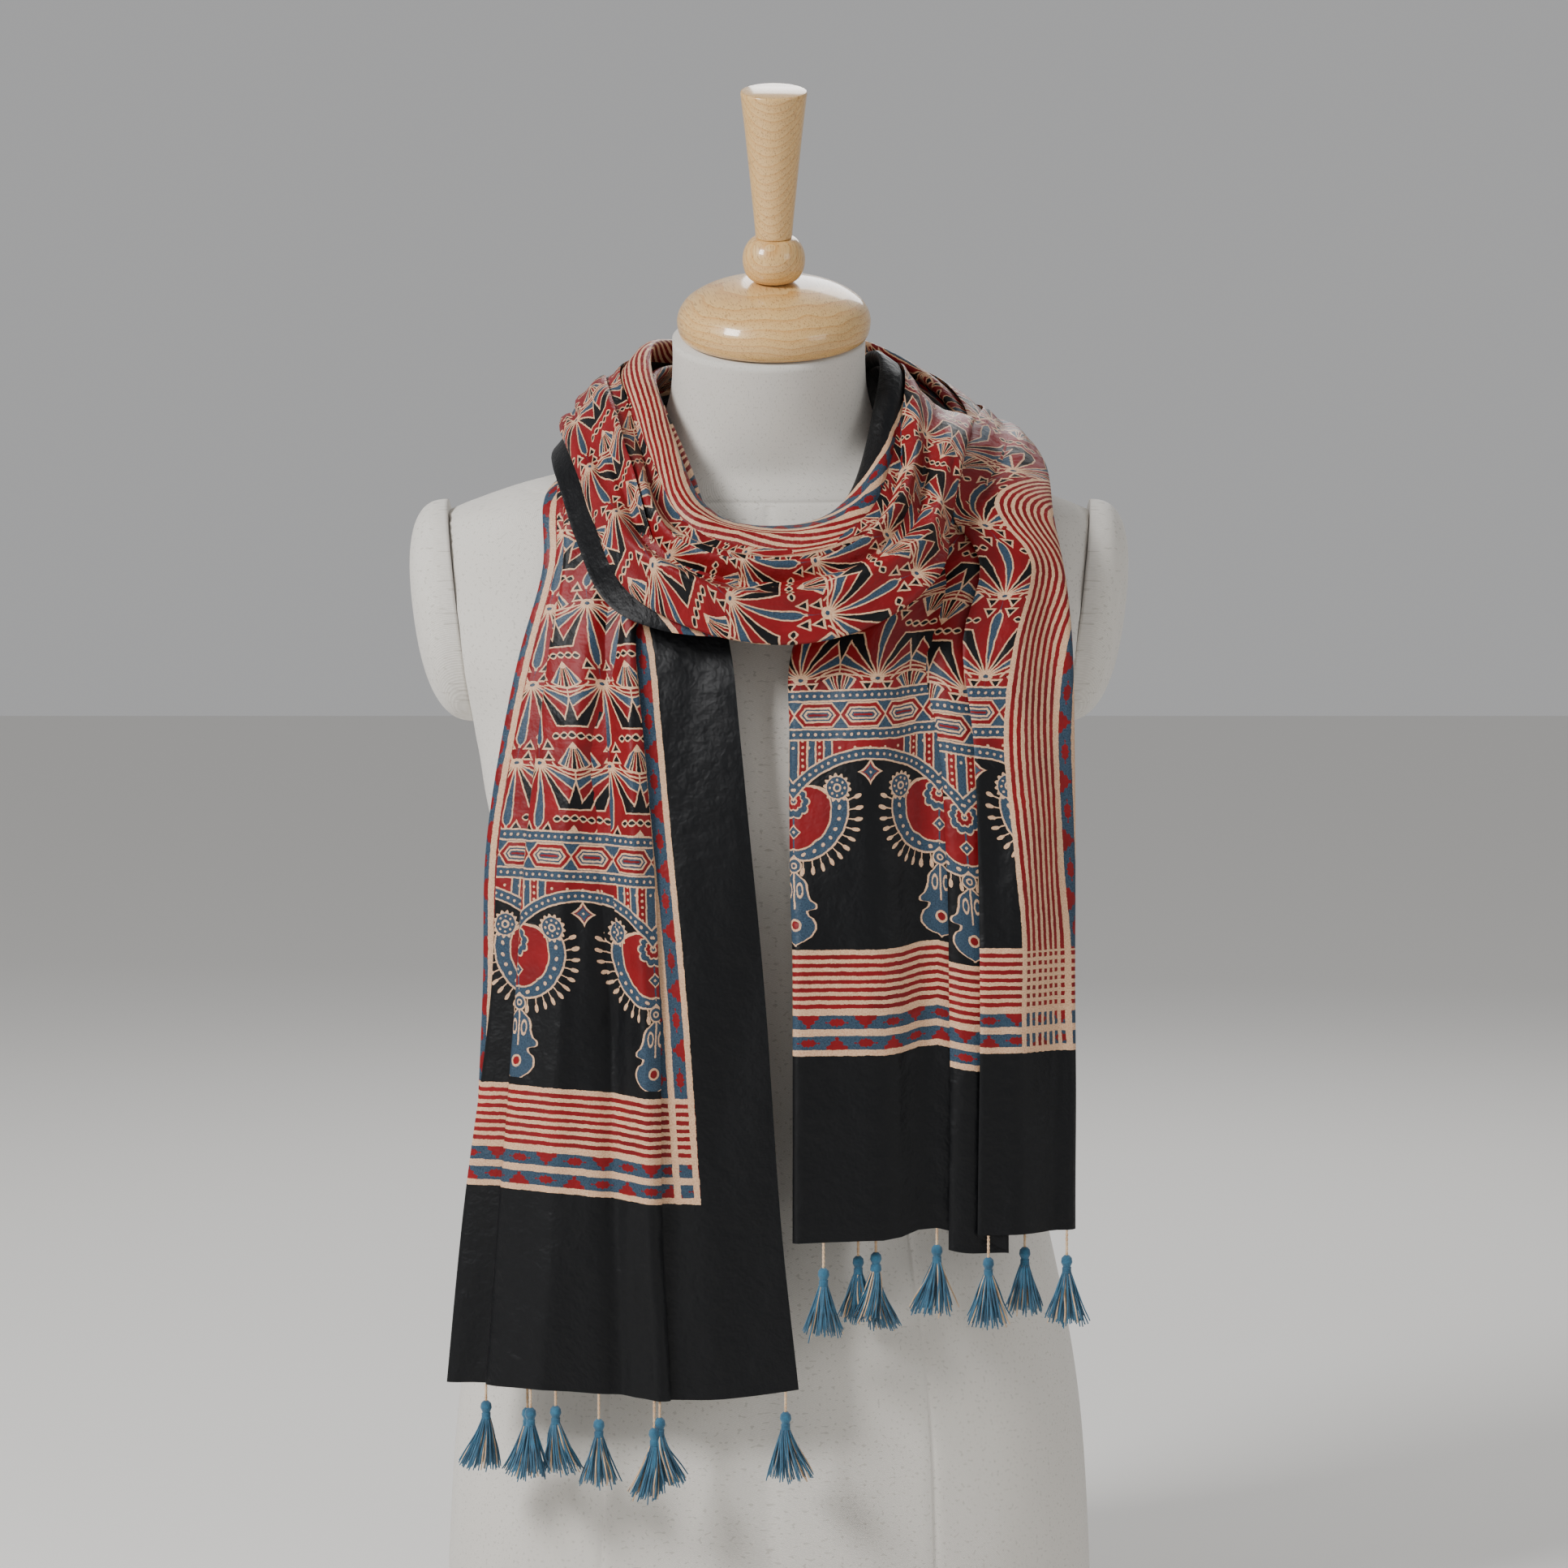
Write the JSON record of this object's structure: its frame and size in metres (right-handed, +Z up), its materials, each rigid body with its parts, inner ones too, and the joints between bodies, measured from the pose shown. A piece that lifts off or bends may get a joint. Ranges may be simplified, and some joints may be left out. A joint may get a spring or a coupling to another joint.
{
  "type": "ajrakh stole on a dress form",
  "caption": "Long block-printed stole folded lengthwise and draped twice round the neck of a tailor's dress form, with tassels along both hems.",
  "frame": {"origin": "centre of the dress form's flat base", "axes": "+Z up along the form, the front of the form faces -Y, +X to the right of someone who looks at the front"},
  "size_m": [0.4302, 0.2801, 0.9314],
  "materials": {
    "form_canvas": "fine twill canvas, matt",
    "lacquered_wood": "turned pale wood under clear lacquer",
    "printed_cloth": "satin-faced cloth, block printed in red, blue, black and cream",
    "tassel_yarn": "soft twisted yarn"
  },
  "bodies": {
    "root": {"torso": "form_canvas", "arm_left": "form_canvas", "arm_right": "form_canvas", "neck_cap": "lacquered_wood", "ball": "lacquered_wood", "handle": "lacquered_wood", "scarf": "printed_cloth", "tassel_a1": "tassel_yarn", "tassel_a2": "tassel_yarn", "tassel_a3": "tassel_yarn", "tassel_a4": "tassel_yarn", "tassel_a5": "tassel_yarn", "tassel_a6": "tassel_yarn", "tassel_a7": "tassel_yarn", "tassel_a8": "tassel_yarn", "tassel_b1": "tassel_yarn", "tassel_b2": "tassel_yarn", "tassel_b3": "tassel_yarn", "tassel_b4": "tassel_yarn", "tassel_b5": "tassel_yarn", "tassel_b6": "tassel_yarn", "tassel_b7": "tassel_yarn", "tassel_b8": "tassel_yarn"}
  },
  "joints": []
}
